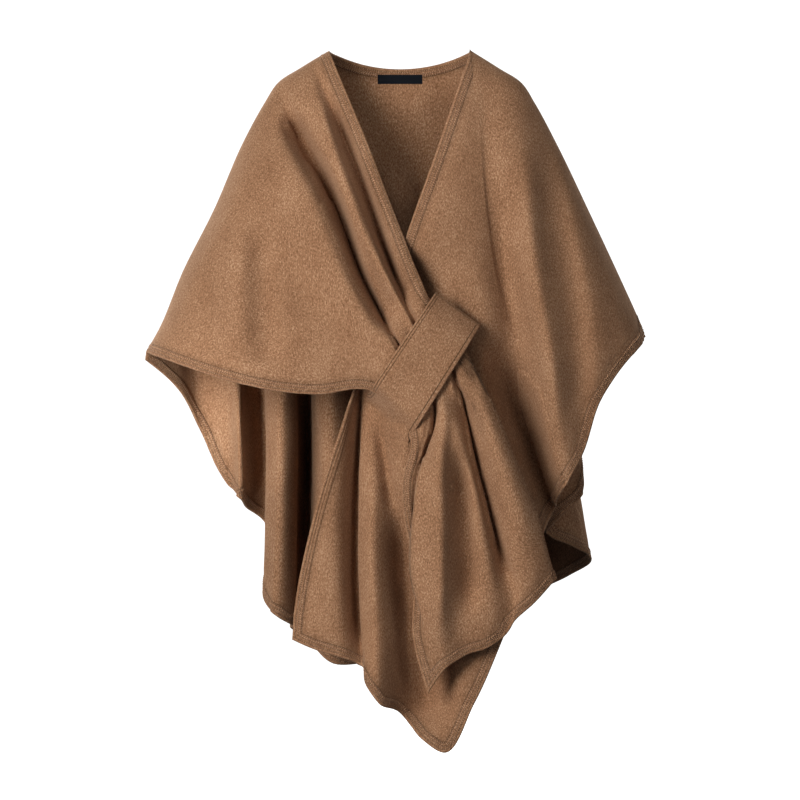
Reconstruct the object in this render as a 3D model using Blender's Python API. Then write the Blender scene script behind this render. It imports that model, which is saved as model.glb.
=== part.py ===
# Wool cape: an open ruana whose right front passes through a strap on the left front.
# It keeps the form it has when worn, with no wearer: shoulders and arms' lines held up, hems hanging.
# Blender units are metres, +Z up, front facing -Y. The tables below are in millimetres.
# The origin is midway between the two neck points, where the wearer's shoulders carry the cape.

from collections import namedtuple

import bmesh
import bpy
import numpy as np
from mathutils import Vector
from mathutils.bvhtree import BVHTree

MM = 0.001

# Cloth
WALL = 2.2
HEM_WALL = 3.4
HEM_WIDTH = 14.0
SEAM_GAP = 0.3
CLOTH_COLOUR = (0.33, 0.17, 0.085, 1.0)
CLOTH_ROUGHNESS = 0.95

# Neck and label
NECK_HALF = 100.0
NECK_DROP = 27.0
LABEL_WIDTH = 60.0
LABEL_HEIGHT = 13.0
LABEL_DROP = 34.0
LABEL_WALL = 0.6
LABEL_GAP = 0.4
LABEL_COLOUR = (0.012, 0.014, 0.02, 1.0)
LABEL_ROUGHNESS = 0.6

# Strap: two layers of cloth, thinned to a feather edge where its low end runs into the left front
STRAP_WALL = 4.6
STRAP_END_WALL = 1.2
STRAP_THINNING = 0.25
STRAP_ARCH = 26.0
STRAP_LOW_ROUNDING = 2.4
STRAP_HIGH_ROUNDING = 4.0

# Below the side tips the form keeps one width
HANG_HALF_WIDTH = 362.0
HANG_TOP = -430.0
LOWEST = -1000.0

# Shoulder seam seen from the front: distance from the middle and height, neck point to side tip
SeamPoint = namedtuple("SeamPoint", "x z")
RIGHT_SEAM = [
    SeamPoint(-100, 0),
    SeamPoint(-140, -24),
    SeamPoint(-173, -46),
    SeamPoint(-190, -72),
    SeamPoint(-220, -127),
    SeamPoint(-262, -224),
    SeamPoint(-305, -309),
    SeamPoint(-341, -395),
    SeamPoint(-358, -424),
]
LEFT_SEAM = [
    SeamPoint(100, 0),
    SeamPoint(140, -25),
    SeamPoint(172, -46),
    SeamPoint(190, -74),
    SeamPoint(222, -134),
    SeamPoint(265, -224),
    SeamPoint(308, -316),
    SeamPoint(336, -378),
    SeamPoint(344, -397),
]

# The body-sized form under the cloth: how far front and back stand from the middle at each height
FormSection = namedtuple("FormSection", "z front back")
FORM = [
    FormSection(20, 10, 30),
    FormSection(0, 30, 45),
    FormSection(-27, 43, 60),
    FormSection(-50, 54, 72),
    FormSection(-74, 65, 82),
    FormSection(-130, 88, 95),
    FormSection(-224, 109, 106),
    FormSection(-312, 122, 112),
    FormSection(-390, 128, 115),
    FormSection(-430, 130, 116),
    FormSection(-560, 130, 118),
    FormSection(-760, 126, 118),
    FormSection(-1000, 120, 118),
]

# Front edge of the left front, neck point down to its lower corner, which lies under the right front
EdgePoint = namedtuple("EdgePoint", "x z out")
LEFT_FRONT_EDGE = [
    EdgePoint(100, 0, 0),
    EdgePoint(79, -60, 0),
    EdgePoint(49, -148, -2),
    EdgePoint(16, -240, -12),
    EdgePoint(-21, -350, -20),
    EdgePoint(-67, -489, -20),
    EdgePoint(-98, -575, -17),
    EdgePoint(-126, -673, -16),
    EdgePoint(-144, -757, -16),
    EdgePoint(-151, -812, -16),
]

# Corners of the strap
StrapEnd = namedtuple("StrapEnd", "upper lower")
STRAP_LOW_END = StrapEnd((-47, -487), (8, -556))
STRAP_HIGH_END = StrapEnd((48, -343), (111, -389))

# Lengthwise lines of the right front. Each starts on the shoulder seam (0 at the side tip, 1 at the neck),
# crosses the chest, goes in under the strap's upper edge and out from its lower edge (0 at the low end,
# 1 at the high end), and falls to the hem. "out" is how far the cloth stands in front of the form.
RightLine = namedtuple(
    "RightLine",
    "name seam chest_x chest_z chest_out enter enter_out leave leave_out "
    "upper_x upper_z upper_out middle_x middle_z middle_out lower_x lower_z lower_out hem_x hem_z hem_out",
)
RIGHT_FRONT = [
    RightLine("side_edge", 0, -115, -484, 0, 0.055, -5, 0.055, -5.5,
              3, -603, 2, 19, -750, -2, 17, -816, 3, 39, -900, 8),
    RightLine("sleeve_1", 0.1, -118, -455, 4, 0.13, 0, 0.11, -1,
              8, -608, 8, 21, -750, -2, 20, -816, 5, 42, -895, 9),
    RightLine("sleeve_2", 0.28, -140, -399, 4, 0.2, 5, 0.18, 4,
              15, -612, 9.5, 23, -750, -1.5, 22, -816, 7, 45, -890, 10),
    RightLine("soft_valley", 0.58, -160, -298, -4, 0.29, 9, 0.25, 7.5,
              20, -615, 7, 25, -750, -1, 25, -816, 9, 48, -886, 11),
    RightLine("soft_crest", 0.74, -133, -262, 6, 0.38, 11.5, 0.3, 8,
              25, -616, 5, 27, -750, 0.5, 28, -816, 11, 50, -882, 12),
    RightLine("lip_1", 0.8, -113, -223, 8, 0.45, 12, 0.338, 5,
              29, -615, 3, 28, -750, 3, 31, -816, 13, 53, -878, 13),
    RightLine("crease_1", 0.825, -101, -221, -20, 0.48, -2, 0.37, 1,
              31, -614, 5.5, 25, -750, 7, 34, -816, 16, 56, -874, 15),
    RightLine("lip_2", 0.85, -87, -220, 9, 0.51, 11, 0.4, 11,
              22, -613, 14, 18, -750, 14, 39, -816, 19.5, 60, -869, 17),
    RightLine("crest_2", 0.88, -77, -218, 12, 0.57, 12.5, 0.45, 12.5,
              52, -608, 24, 53, -746, 29, 56, -812, 27, 69, -861, 20),
    RightLine("soft_trough", 0.905, -66, -218, 10, 0.63, 10, 0.52, 11,
              73, -601, 13, 78, -735, 15, 83, -802, 16, 94, -846, 13),
    RightLine("lip_3", 0.925, -55, -217, 5, 0.69, 11, 0.585, 11,
              101, -594, 20, 126, -717, 20, 130, -777, 18, 122, -837, 14),
    RightLine("crease_2", 0.945, -44, -216, -18, 0.725, -1, 0.615, 0,
              109, -588, 2, 141, -708, 4, 157, -757, 9, 144, -822, 10),
    RightLine("lip_4", 0.96, -34, -214, 5, 0.76, 10, 0.65, 10,
              117, -584, 17, 150, -701, 19, 168, -748, 19, 160, -799, 15),
    RightLine("crest_3", 0.973, -27, -214, 6, 0.83, 10, 0.71, 10,
              136, -570, 22, 174, -682, 24, 188, -731, 22, 188, -774, 17),
    RightLine("front_fold", 0.987, -21, -213, 4, 0.89, 6, 0.785, 7,
              153, -557, 10, 193, -661, 10, 206, -710, 10, 216, -742, 8),
    RightLine("front_edge", 1, -15, -211, -1, 0.94, -3, 0.74, -3,
              140, -564, -4, 176, -671, -5, 189, -724, -5, 193, -757, -5),
]

# Upright lines of the left front, from its front edge (-1 at the low corner, 0 at the neck) or its
# shoulder seam (0 at the neck, 1 at the side tip) down to the hem.
LeftLine = namedtuple("LeftLine", "name top upper_x upper_out lower_x lower_out hem_x hem_z hem_out")
LEFT_FRONT = [
    LeftLine("low_corner", -0.965, -149, -16, -150, -16, -151, -826, -16),
    LeftLine("edge_low", -0.85, -127, -14, -125, -12, -118, -840, -10),
    LeftLine("edge_middle", -0.70, -95, -14, -91, -12, -84, -850, -10),
    LeftLine("recess", -0.57, -60, -34, -61, -26, -54, -862, -14),
    LeftLine("strap_fold_side", -0.54, -54, -9, -57, 8, -47, -890, 10),
    LeftLine("strap_fold", -0.48, -44, -7, -40, 18, -29, -914, 18),
    LeftLine("trough_1", -0.42, -28, -12, -4, -15, 1, -927, -10),
    LeftLine("under_fan_1", -0.34, 0, -10, 17, -12, 29, -963, -4),
    LeftLine("hem_point", -0.26, 35, -10, 48, -12, 60, -983, 0),
    LeftLine("under_fan_2", -0.18, 64, -10, 81, -12, 104, -914, -4),
    LeftLine("under_fan_3", -0.09, 95, -10, 120, -16, 146, -819, -8),
    LeftLine("neck", 0.00, 115, -11, 143, -20, 179, -738, -10),
    LeftLine("trough_2", 0.07, 129, -12, 157, -18, 204, -669, -8),
    LeftLine("crest_1", 0.16, 174, 5, 196, 7, 228, -617, 4),
    LeftLine("trough_3", 0.30, 214, -5, 238, -5, 255, -568, -2),
    LeftLine("crest_2", 0.50, 253, 2, 272, 3, 280, -494, 2),
    LeftLine("arm_1", 0.72, 291, 1, 300, 1, 309, -449, 0),
    LeftLine("arm_2", 0.90, 323, 0, 328, 0, 332, -422, 0),
    LeftLine("side_tip", 0.97, 341, 0, 343, 0, 341, -412, 0),
]
LEFT_UPPER = 0.25
LEFT_LOWER = 0.60

# Upright lines of the back, from its top (-2 and 2 at the side tips, -1 and 1 at the neck points,
# 0 at the middle of the neckline) down to the hem. hem_y is the depth behind the shoulders.
BackLine = namedtuple("BackLine", "name top hem_x hem_z hem_y")
BACK = [
    BackLine("right_tip", -1.97, -358, -437, 10),
    BackLine("right_edge_1", -1.88, -314, -476, 45),
    BackLine("right_edge_2", -1.74, -284, -533, 78),
    BackLine("right_panel", -1.53, -249, -603, 72),
    BackLine("panel_turn", -1.43, -230, -627, 60),
    BackLine("hollow_1_side", -1.39, -221, -644, 100),
    BackLine("hollow_1", -1.34, -200, -664, 130),
    BackLine("hollow_1_end", -1.29, -185, -701, 112),
    BackLine("tube_1_side", -1.24, -196, -776, 58),
    BackLine("tube_1", -1.18, -178, -797, 34),
    BackLine("tube_1_turn", -1.14, -154, -811, 56),
    BackLine("hollow_2_side", -1.11, -157, -816, 105),
    BackLine("hollow_2", -1.08, -136, -827, 130),
    BackLine("tube_2_side", -1.05, -120, -841, 78),
    BackLine("tube_2", -1.00, -94, -864, 52),
    BackLine("tube_2_turn", -0.92, -62, -865, 72),
    BackLine("flute_1", -0.76, -38, -855, 125),
    BackLine("trough_1", -0.58, -11, -865, 75),
    BackLine("flute_2", -0.40, 17, -861, 128),
    BackLine("trough_2", -0.18, 49, -861, 78),
    BackLine("flute_3", 0.06, 81, -850, 128),
    BackLine("trough_3", 0.30, 112, -834, 80),
    BackLine("flute_4", 0.54, 144, -813, 128),
    BackLine("trough_4", 0.76, 175, -787, 85),
    BackLine("flute_5", 0.96, 204, -760, 122),
    BackLine("left_side", 1.05, 239, -741, 90),
    BackLine("left_turn", 1.12, 270, -715, 35),
    BackLine("cascade_1", 1.19, 241, -697, 6),
    BackLine("cascade_1_fold", 1.26, 207, -679, -10),
    BackLine("cascade_2", 1.32, 227, -654, -24),
    BackLine("cascade_2_turn", 1.39, 258, -620, -8),
    BackLine("left_edge_1", 1.50, 252, -570, 14),
    BackLine("left_edge_2", 1.65, 263, -512, 24),
    BackLine("left_edge_3", 1.80, 298, -456, 20),
    BackLine("left_edge_4", 1.91, 328, -422, 19),
    BackLine("left_tip", 1.965, 342, -412, 14),
]
FOLDS_START = 0.10
FOLDS_FULL = 0.60

# Mesh: steps down each stretch, steps across each gap between lines, and the share of a line that rounds
# the shoulder in short steps
RIGHT_DOWN = (7, 6, 4, 4, 4, 3, 3)
LEFT_DOWN = 20
BACK_DOWN = 16
NARROW_STEPS = 2
WIDE_STEPS = 3
WIDE_GAP = 25.0
SHORT_LINE = 120.0
SHOULDER_SHARE = 0.35
STRAP_ALONG = 16
STRAP_ACROSS = 6
LABEL_ACROSS = 6
LABEL_DOWN = 2
SAMPLES = 120


def smooth(knots, values, at):
    """Piecewise cubic curve through the values at the knots, with three-point slopes."""
    knots = np.asarray(knots, float)
    values = np.asarray(values, float)
    steps = np.diff(knots)[:, None]
    rises = np.diff(values, axis=0) / steps
    slopes = np.empty_like(values)
    slopes[1:-1] = (steps[1:] * rises[:-1] + steps[:-1] * rises[1:]) / (steps[1:] + steps[:-1])
    slopes[0] = 1.5 * rises[0] - 0.5 * slopes[1]
    slopes[-1] = 1.5 * rises[-1] - 0.5 * slopes[-2]
    at = np.asarray(at, float)
    span = np.clip(np.searchsorted(knots, at, side="right") - 1, 0, len(steps) - 1)
    step = steps[span]
    t = (at - knots[span])[:, None] / step
    low, high = values[span], values[span + 1]
    leaving, arriving = step * slopes[span], step * slopes[span + 1]
    return (
        low * (1 + 2 * t) * (1 - t) ** 2
        + leaving * t * (1 - t) ** 2
        + high * t * t * (3 - 2 * t)
        + arriving * t * t * (t - 1)
    )


def lengths(points):
    """Distance along a line of points, from its first point to each."""
    return np.concatenate([[0], np.cumsum(np.linalg.norm(np.diff(points, axis=0), axis=1))])


def along(points, fractions):
    """Points at these fractions of a smooth curve's length."""
    at = lengths(np.asarray(points, float))
    return smooth(at / at[-1], points, fractions)


def evenly(points, count, hem=False):
    """The same line in count equal steps. A line that ends in a hem has a last step of the hem's width."""
    at = lengths(points)
    wanted = np.linspace(0, at[-1], count + 1)
    if hem:
        wanted[:-1] = np.linspace(0, at[-1] - min(HEM_WIDTH, at[-1] / count), count)
    return np.column_stack([np.interp(wanted, at, column) for column in points.T])


def mean_distances(*stations):
    """Each line's mean distance from the first line, over stations that hold one point for each line."""
    return np.mean([lengths(np.array(station, float)) for station in stations], axis=0)


def spread(knots, narrow_steps, wide_steps):
    """Positions that include every knot, with more steps in the wide gaps."""
    found = [knots[0]]
    for start, end in zip(knots[:-1], knots[1:]):
        count = wide_steps if end - start > WIDE_GAP else narrow_steps
        found.extend(start + (end - start) * np.arange(1, count + 1) / count)
    return np.array(found)


def half_width(x, z):
    """Distance from the middle to the cape's side at each height."""
    sides = []
    for seam in (RIGHT_SEAM, LEFT_SEAM):
        curve = along(seam, np.linspace(0, 1, SAMPLES))
        heights = np.append(curve[:, 1], [HANG_TOP, LOWEST])[::-1]
        widths = np.append(abs(curve[:, 0]), [HANG_HALF_WIDTH, HANG_HALF_WIDTH])[::-1]
        sides.append(np.interp(z, heights, widths))
    return np.where(np.asarray(x) < 0, sides[0], sides[1])


def form_depth(x, z, side):
    """Distance of the form's front or back from the plane of the shoulders."""
    heights = [-section.z for section in FORM]
    depths = [[getattr(section, side)] for section in FORM]
    middle = smooth(heights, depths, -np.asarray(z, float))[:, 0]
    return middle * np.sqrt(np.clip(1 - (x / half_width(x, z)) ** 2, 0, 1))


def down_from_seam():
    """Fractions of a line that start in short steps, because the form rounds away fast at its side."""
    t = np.linspace(0, 1, SAMPLES + 1)
    share = SHOULDER_SHARE
    return np.where(t < share, t * t / share, 2 * t - share) / (2 - share)


def in_front(flat, sewn):
    """Points in front of the form, from their x, z and out. On a seam they start half a gap from its plane."""
    depth = form_depth(flat[:, 0], flat[:, 1], "front") + flat[:, 2]
    if sewn:
        depth[0] = SEAM_GAP / 2
    return np.column_stack([flat[:, 0], -depth, flat[:, 1]])


def strap_edge(side, shares):
    """Points along the strap's upper or lower long edge, from its low end (0) to its high end (1)."""
    low, high = np.array(getattr(STRAP_LOW_END, side)), np.array(getattr(STRAP_HIGH_END, side))
    return low + np.multiply.outer(shares, high - low)


def right_front_lines():
    rows = RIGHT_FRONT
    first_fan_column = RightLine._fields.index("upper_x")
    enters = strap_edge("upper", [row.enter for row in rows])
    leaves = strap_edge("lower", [row.leave for row in rows])
    table = [
        [row.seam, row.chest_x, row.chest_z, row.chest_out, *enter, row.enter_out, *leave, row.leave_out]
        + list(row[first_fan_column:])
        for row, enter, leave in zip(rows, enters, leaves)
    ]
    knots = mean_distances(
        [(row.chest_x, row.chest_z, row.chest_out) for row in rows],
        [(row.upper_x, row.upper_z, row.upper_out) for row in rows],
        [(row.middle_x, row.middle_z, row.middle_out) for row in rows],
        [(row.hem_x, row.hem_z, row.hem_out) for row in rows],
    )
    columns = smooth(knots, table, spread(knots, NARROW_STEPS, WIDE_STEPS))
    seams = along(RIGHT_SEAM[::-1], np.clip(columns[:, 0], 0, 1))
    grid = []
    for seam, column in zip(seams, columns):
        stations = np.vstack([[*seam, 0], column[1:].reshape(-1, 3)])
        at = lengths(stations[:, :2])
        line = []
        for number, count in enumerate(RIGHT_DOWN):
            first, last = number == 0, number == len(RIGHT_DOWN) - 1
            fractions = down_from_seam() if first else np.linspace(0, 1, SAMPLES + 1)
            flat = smooth(at, stations, at[number] + fractions * (at[number + 1] - at[number]))
            stretch = evenly(in_front(flat, first), count, last)
            line.extend(stretch if first else stretch[1:])
        grid.append(line)
    return np.array(grid)


def left_front_lines():
    knots = mean_distances([(row.hem_x, row.hem_z, row.hem_out) for row in LEFT_FRONT])
    table = [row[1:] for row in LEFT_FRONT]
    columns = smooth(knots, table, spread(knots, NARROW_STEPS, NARROW_STEPS))
    grid = []
    for top, upper_x, upper_out, lower_x, lower_out, hem_x, hem_z, hem_out in columns:
        sewn = top >= 0
        start = [*along(LEFT_SEAM, [top])[0], 0] if sewn else along(LEFT_FRONT_EDGE, [-top])[0]
        upper_z, lower_z = (start[1] + share * (hem_z - start[1]) for share in (LEFT_UPPER, LEFT_LOWER))
        upper, lower = (upper_x, upper_z, upper_out), (lower_x, lower_z, lower_out)
        stations = [start, upper, lower, (hem_x, hem_z, hem_out)]
        flat = smooth((0, LEFT_UPPER, LEFT_LOWER, 1), stations, down_from_seam())
        grid.append(evenly(in_front(flat, sewn), LEFT_DOWN, True))
    return np.array(grid)


def back_top(place):
    """Point on the back's top: right seam (-2 to -1), neckline (-1 to 1), then left seam (1 to 2)."""
    if abs(place) > 1:
        return along(RIGHT_SEAM if place < 0 else LEFT_SEAM, [abs(place) - 1])[0]
    return NECK_HALF * place, -NECK_DROP * (1 - place**2)


def back_lines():
    knots = mean_distances([(row.hem_x, row.hem_z, row.hem_y) for row in BACK])
    table = [row[1:] for row in BACK]
    columns = smooth(knots, table, spread(knots, 1, NARROW_STEPS))
    down = down_from_seam()
    folded = np.clip((down - FOLDS_START) / (FOLDS_FULL - FOLDS_START), 0, 1)
    folded = folded * folded * (3 - 2 * folded)
    grid = []
    for top, hem_x, hem_z, hem_y in columns:
        top_x, top_z = back_top(top)
        x = top_x + down * (hem_x - top_x)
        z = top_z + down * (hem_z - top_z)
        depth = form_depth(x, z, "back")
        depth += (hem_y - depth[-1]) * folded
        if abs(top) >= 1:
            depth[0] = SEAM_GAP / 2
        grid.append(evenly(np.column_stack([x, depth, z]), BACK_DOWN, True))
    return np.array(grid)


def outward(grid, sign):
    """Unit normals of a grid of points, level along a shoulder seam."""
    across = np.gradient(grid, axis=0)
    down = np.gradient(grid, axis=1)
    for line, slopes in zip(grid, down):
        if lengths(line)[-1] < SHORT_LINE:
            slopes[:] = line[-1] - line[0]
    normal = sign * np.cross(across, down)
    normal[on_seam(grid), 0, 1] = 0
    return normal / np.linalg.norm(normal, axis=2, keepdims=True)


def on_seam(grid):
    """Which lines of a grid start on a shoulder seam."""
    return abs(grid[:, 0, 1]) < SEAM_GAP


def panel_thickness(grid, side_hems):
    """Wall thickness of a panel: thicker on its turned hems, but not on a shoulder seam."""
    thickness = np.full(grid.shape[:2], WALL)
    thickness[:, -2:] = HEM_WALL
    thickness[~on_seam(grid), 0] = HEM_WALL
    if side_hems:
        thickness[[0, -1], :] = HEM_WALL
    return thickness


def finish(name, colour, roughness):
    material = bpy.data.materials.new(name)
    material.use_nodes = True
    shader = material.node_tree.nodes["Principled BSDF"]
    shader.inputs["Base Color"].default_value = colour
    shader.inputs["Roughness"].default_value = roughness
    shader.inputs["Metallic"].default_value = 0.0
    return material


def wall(name, grid, sign, thickness, colour, roughness):
    """Object with a closed wall. The grid of points, in millimetres, is its outer face, and sign its side."""
    inner = grid - outward(grid, sign) * thickness[:, :, None]
    columns, rows = grid.shape[:2]
    mesh = bmesh.new()
    corners = [mesh.verts.new(point) for point in np.concatenate([grid, inner]).reshape(-1, 3) * MM]

    def corner(column, row, layer=0):
        return corners[(layer * columns + column) * rows + row]

    for column in range(columns - 1):
        for row in range(rows - 1):
            for layer in (0, 1):
                ring = [corner(column + i, row + j, layer) for i, j in ((0, 0), (1, 0), (1, 1), (0, 1))]
                mesh.faces.new(ring)
    rim = [(column, 0) for column in range(columns)]
    rim += [(columns - 1, row) for row in range(1, rows)]
    rim += [(column, rows - 1) for column in range(columns - 2, -1, -1)]
    rim += [(0, row) for row in range(rows - 2, 0, -1)]
    for here, ahead in zip(rim, rim[1:] + rim[:1]):
        mesh.faces.new([corner(*here), corner(*here, 1), corner(*ahead, 1), corner(*ahead)])
    bmesh.ops.recalc_face_normals(mesh, faces=mesh.faces)
    data = bpy.data.meshes.new(name)
    mesh.to_mesh(data)
    mesh.free()
    data.shade_smooth()
    data.materials.append(finish(name, colour, roughness))
    piece = bpy.data.objects.new(name, data)
    bpy.data.collections["wool_cape"].objects.link(piece)
    return piece


def clear_of(piece, places, gap):
    """Depth, in millimetres, just in front of a piece at each x and z, as met from the front."""
    mesh = bmesh.new()
    mesh.from_mesh(piece.data)
    tree = BVHTree.FromBMesh(mesh)
    mesh.free()
    depths = []
    for x, z in places:
        met, normal = tree.ray_cast(Vector((x * MM, -1, z * MM)), Vector((0, 1, 0)))[:2]
        depths.append(met.y / MM - gap / abs(normal.y))
    return np.array(depths)


def make_right_front():
    lines = right_front_lines()
    return wall("right_front", lines, -1, panel_thickness(lines, True), CLOTH_COLOUR, CLOTH_ROUGHNESS)


def make_left_front():
    lines = left_front_lines()
    return wall("left_front", lines, -1, panel_thickness(lines, False), CLOTH_COLOUR, CLOTH_ROUGHNESS)


def make_back():
    lines = back_lines()
    return wall("back", lines, 1, panel_thickness(lines, False), CLOTH_COLOUR, CLOTH_ROUGHNESS)


def make_strap(left_front):
    """An arch over the gathers, each line along it seated on the left front at both ends."""
    reach = np.linspace(0, 1, STRAP_ALONG + 1)
    rounding = np.where(reach < 0.5, STRAP_LOW_ROUNDING, STRAP_HIGH_ROUNDING)
    arch = STRAP_ARCH * (1 - abs(2 * reach - 1) ** rounding)
    thickness = STRAP_END_WALL + (STRAP_WALL - STRAP_END_WALL) * np.minimum(1, reach / STRAP_THINNING)
    upper, lower = strap_edge("upper", reach), strap_edge("lower", reach)
    middle = STRAP_ALONG // 2
    lines = []
    for share in np.linspace(0, 1, STRAP_ACROSS + 1):
        places = upper + share * (lower - upper)
        room = clear_of(left_front, places, SEAM_GAP) + arch
        seat_low, seat_high = min(room[:middle]), min(room[middle:])
        depth = seat_low + reach * (seat_high - seat_low) - arch - thickness
        lines.append(np.column_stack([places[:, 0], depth, places[:, 1]]))
    lines = np.array(lines)
    return wall("strap", lines, -1, np.tile(thickness, (len(lines), 1)), CLOTH_COLOUR, CLOTH_ROUGHNESS)


def make_label(back):
    """A bare tape on the inside of the back, under the neckline."""
    heights = np.linspace(-LABEL_DROP, -LABEL_DROP - LABEL_HEIGHT, LABEL_DOWN + 1)
    lines = []
    for x in np.linspace(-LABEL_WIDTH / 2, LABEL_WIDTH / 2, LABEL_ACROSS + 1):
        places = [(x, z) for z in heights]
        depth = clear_of(back, places, LABEL_GAP) - LABEL_WALL
        lines.append(np.column_stack([np.full(len(heights), x), depth, heights]))
    lines = np.array(lines)
    thickness = np.full(lines.shape[:2], LABEL_WALL)
    return wall("label", lines, -1, thickness, LABEL_COLOUR, LABEL_ROUGHNESS)


def main():
    for old in list(bpy.data.objects):
        bpy.data.objects.remove(old)
    collection = bpy.data.collections.new("wool_cape")
    bpy.context.scene.collection.children.link(collection)
    make_right_front()
    left_front = make_left_front()
    back = make_back()
    make_strap(left_front)
    make_label(back)


main()
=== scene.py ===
import math

import bpy
import numpy as np
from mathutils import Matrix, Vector, noise
from mathutils.bvhtree import BVHTree
from mathutils.kdtree import KDTree


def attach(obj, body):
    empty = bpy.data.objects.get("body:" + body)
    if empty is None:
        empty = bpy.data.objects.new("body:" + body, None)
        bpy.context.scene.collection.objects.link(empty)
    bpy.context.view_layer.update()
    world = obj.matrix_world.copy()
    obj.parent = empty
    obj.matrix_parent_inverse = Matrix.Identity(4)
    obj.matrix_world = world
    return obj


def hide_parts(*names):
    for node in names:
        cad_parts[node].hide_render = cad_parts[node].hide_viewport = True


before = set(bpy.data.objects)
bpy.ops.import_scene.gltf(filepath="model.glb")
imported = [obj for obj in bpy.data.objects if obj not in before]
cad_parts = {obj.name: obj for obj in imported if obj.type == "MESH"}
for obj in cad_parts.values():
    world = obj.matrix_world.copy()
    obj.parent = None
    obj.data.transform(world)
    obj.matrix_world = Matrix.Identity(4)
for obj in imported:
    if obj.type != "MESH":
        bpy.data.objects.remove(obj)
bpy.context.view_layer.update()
bpy.ops.object.select_all(action="DESELECT")
print("frame loaded:", ", ".join(sorted(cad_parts)))

mm = 0.001  # the tables are in millimetres, the scene in metres

cloth = {
    "wall": 2.2,
    "hemWall": 3.4,
    "hemEnds": (12.5, 15.0),  # where the thicker hem ends, from its edge
    "edgeRound": 1.5,
    "seamRound": 1.0,
    "seamSink": 0.02,
    "seamDepth": 0.15,  # how far each panel starts from the seams' plane
    "edgeParts": 3,  # the short steps at an edge take at most one part in this many of a line
    "narrow": 60.0,  # and are shorter still on a panel narrower than this
    "fewestSteps": 3,
    "shortLine": 120.0,  # a line shorter than this keeps one direction
    "upward": 0.3,  # how much up counts as outward beside a seam
    "seamLean": 0.7,  # how far the normals there lean, and over what distance
    "leanReach": 30.0,
    "hemPoints": 0.7,
    "hemReach": 75.0,  # how far along the mesh a hem may be from its edge
    "creasePieces": 59,
    "creaseStart": (5, 60),
    "swell": (1.3, 85.0, 0.0),  # soft unevenness: height, size and place in the noise
    "ripple": (0.35, 24.0, 7.0),
    "swellStart": 25,
    "hemWave": (0.8, 34.0, 19.0),
    "waveReach": 16,
    "waveStart": 20,
    "hemPad": 0.6,
    "padEnds": (13.0, 15.5),
    "pressed": ((4.9, 0.5, 1.4), (8.8, 0.4, 1.3), (13.2, 0.7, 1.7), (18.0, 0.5, 3.5)),  # place, depth, width
    "reliefStart": 3,
    "reliefSeam": (2, 12),
    "innerRelief": 0.6,
}
edgeSteps = (0, 0.25, 0.8, 1.6, 2.8, 4.2, 5.6, 7.0, 8.4, 9.8, 11.2, 12.5, 13.8, 15.1, 16.6, 18.6)
farOff = 1e6

# the form under the cloth: height, front and back depth at the middle; the seams by x z
form = {
    "sections": [(20, 10, 30), (0, 30, 45), (-27, 43, 60), (-50, 54, 72), (-74, 65, 82), (-130, 88, 95),
                 (-224, 109, 106), (-312, 122, 112), (-390, 128, 115), (-430, 130, 116), (-560, 130, 118),
                 (-760, 126, 118), (-1000, 120, 118)],
    "rightSeam": [(-100, 0), (-140, -24), (-173, -46), (-190, -72), (-220, -127), (-262, -224), (-305, -309),
                  (-341, -395), (-358, -424)],
    "leftSeam": [(100, 0), (140, -25), (172, -46), (190, -74), (222, -134), (265, -224), (308, -316),
                 (336, -378), (344, -397)],
    "seamPoints": 120,
    "hangHalfWidth": 362.0,
    "hangTop": -430.0,
    "lowest": -1000.0,
}


# curves and grids

def smoothCurve(knots, values, at):
    # cubic through the values, with three-point slopes
    knots = np.asarray(knots, float)
    values = np.asarray(values, float)
    steps = np.diff(knots)[:, None]
    rises = np.diff(values, axis=0) / steps
    slopes = np.empty_like(values)
    slopes[1:-1] = (steps[1:] * rises[:-1] + steps[:-1] * rises[1:]) / (steps[1:] + steps[:-1])
    slopes[0] = 1.5 * rises[0] - 0.5 * slopes[1]
    slopes[-1] = 1.5 * rises[-1] - 0.5 * slopes[-2]
    at = np.asarray(at, float)
    span = np.clip(np.searchsorted(knots, at, side="right") - 1, 0, len(steps) - 1)
    step = steps[span]
    t = (at - knots[span])[:, None] / step
    low, high = values[span], values[span + 1]
    leaving, arriving = step * slopes[span], step * slopes[span + 1]
    return (low * (1 + 2 * t) * (1 - t) ** 2 + leaving * t * (1 - t) ** 2
            + high * t * t * (3 - 2 * t) + arriving * t * t * (t - 1))


def easeIn(value, start, end):
    t = np.clip((np.asarray(value, float) - start) / (end - start), 0, 1)
    return t * t * (3 - 2 * t)


def bell(away, width):
    return np.exp(-((away / width) ** 2))


def roundOff(away, radius):
    return np.sqrt(np.clip(1 - (1 - np.clip(away / radius, 0, 1)) ** 2, 0, 1))


def lineLengths(points):
    return np.concatenate([[0], np.cumsum(np.linalg.norm(np.diff(points, axis=0), axis=1))])


def gridDistances(grid):
    # how far along the cloth each point is from the first column, and from the top of its own
    across = np.linalg.norm(np.diff(grid, axis=0), axis=2)
    down = np.linalg.norm(np.diff(grid, axis=1), axis=2)
    return (np.vstack([np.zeros(grid.shape[1]), np.cumsum(across, axis=0)]),
            np.hstack([np.zeros((len(grid), 1)), np.cumsum(down, axis=1)]))


def atLengths(points, at, wanted):
    return np.column_stack([np.interp(wanted, at, part) for part in points.T])


def curvePoints(points, fractions):
    at = lineLengths(np.asarray(points, float))
    return smoothCurve(at / at[-1], points, fractions)


def resampled(points, count, fineStart=False, fineEnd=False):
    # the same line in even steps, with the short edge steps where it starts or ends at an edge
    at = lineLengths(points)
    total = at[-1]
    fine = np.array(edgeSteps) * min(1, total / cloth["edgeParts"] / edgeSteps[-1])
    start = fine[-1] if fineStart else 0
    end = total - (fine[-1] if fineEnd else 0)
    wanted = np.linspace(start, end, count + 1)
    if fineStart:
        wanted = np.concatenate([fine[:-1], wanted])
    if fineEnd:
        wanted = np.concatenate([wanted, total - fine[-2::-1]])
    return atLengths(points, at, wanted)


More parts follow.
